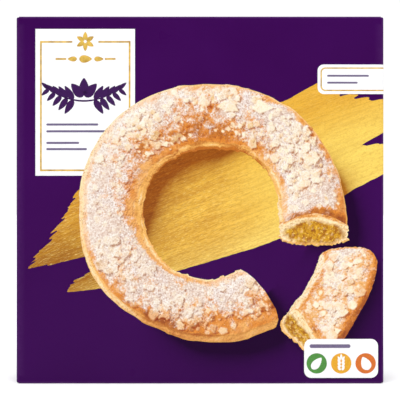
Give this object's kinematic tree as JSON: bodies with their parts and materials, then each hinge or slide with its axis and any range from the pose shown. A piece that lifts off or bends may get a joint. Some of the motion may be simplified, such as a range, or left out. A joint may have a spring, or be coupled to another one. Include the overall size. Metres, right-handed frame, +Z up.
{
  "type": "pastry carton",
  "caption": "Shut flat square folding carton for a ring-shaped pastry, with glued end flaps and a slim depth.",
  "frame": {"origin": "middle of the lower end that the shut carton stands on", "axes": "+Z up to the upper end, -Y out of the printed front panel, +X to the right as seen from the front"},
  "size_m": [0.26, 0.0524, 0.26],
  "materials": {
    "printed_board": "deep purple print with a pale picture and gold, under a satin varnish"
  },
  "bodies": {
    "root": {"carton": "printed_board"}
  },
  "joints": []
}
